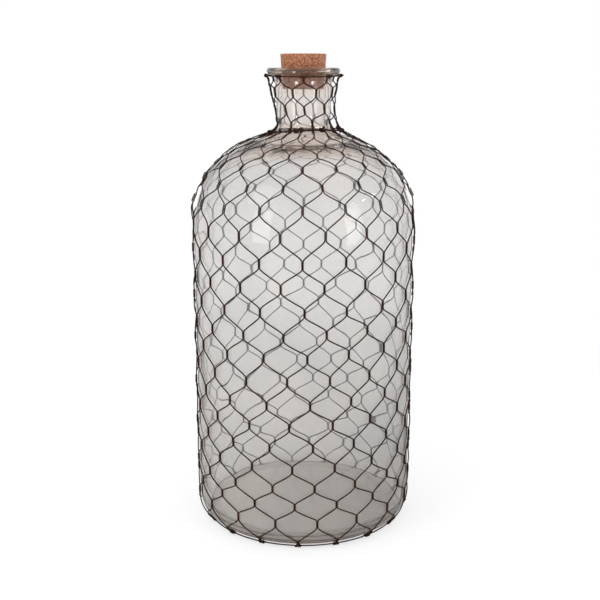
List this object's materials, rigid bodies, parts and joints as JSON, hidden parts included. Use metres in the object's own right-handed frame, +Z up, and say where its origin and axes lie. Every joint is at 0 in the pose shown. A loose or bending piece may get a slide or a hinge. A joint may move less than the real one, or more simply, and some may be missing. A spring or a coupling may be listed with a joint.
{
  "type": "decorative bottle",
  "caption": "Tall round glass bottle with a dome shoulder and short neck, jacketed in hexagonal wire netting and closed by a tapered cork that lifts out.",
  "frame": {"origin": "middle of the bottle's foot, on the surface that it stands on", "axes": "+Z up along the bottle's axis, -Y towards the pictured front"},
  "size_m": [0.217, 0.217, 0.4553],
  "materials": {
    "glass": "clear blown glass, faint grey cast, slightly wavy",
    "cork": "agglomerated cork, matt",
    "net_wire": "dark brown oxidised steel wire"
  },
  "bodies": {
    "bottle": {"glass_bottle": "glass", "rim_hoop_wire": "net_wire", "neck_tie_wire": "net_wire", "base_hoop_wire": "net_wire", "body_wire_01": "net_wire", "body_wire_02": "net_wire", "body_wire_03": "net_wire", "body_wire_04": "net_wire", "body_wire_05": "net_wire", "body_wire_06": "net_wire", "body_wire_07": "net_wire", "body_wire_08": "net_wire", "body_wire_09": "net_wire", "body_wire_10": "net_wire", "body_wire_11": "net_wire", "body_wire_12": "net_wire", "body_wire_13": "net_wire", "body_wire_14": "net_wire", "body_wire_15": "net_wire", "body_wire_16": "net_wire", "body_wire_17": "net_wire", "body_wire_18": "net_wire", "body_wire_19": "net_wire", "body_wire_20": "net_wire", "body_wire_21": "net_wire", "body_wire_22": "net_wire", "body_wire_23": "net_wire", "body_wire_24": "net_wire", "body_wire_25": "net_wire", "body_wire_26": "net_wire", "body_wire_27": "net_wire", "body_wire_28": "net_wire", "body_wire_29": "net_wire", "body_wire_30": "net_wire", "body_wire_31": "net_wire", "body_wire_32": "net_wire", "body_wire_33": "net_wire", "body_wire_34": "net_wire", "neck_wire_01": "net_wire", "neck_wire_02": "net_wire", "neck_wire_03": "net_wire", "neck_wire_04": "net_wire", "neck_wire_05": "net_wire", "neck_wire_06": "net_wire", "neck_wire_07": "net_wire", "neck_wire_08": "net_wire", "neck_wire_09": "net_wire", "neck_wire_10": "net_wire", "neck_wire_11": "net_wire", "neck_wire_12": "net_wire", "neck_wire_13": "net_wire", "neck_wire_14": "net_wire", "neck_wire_15": "net_wire", "neck_wire_16": "net_wire", "neck_wire_17": "net_wire", "neck_wire_18": "net_wire"},
    "cork": {"cork_stopper": "cork"}
  },
  "joints": [
    {"name": "cork_lift", "type": "slide", "parent": "bottle", "child": "cork", "axis": [0, 0, 1], "range_m": [0, 0.06]}
  ]
}
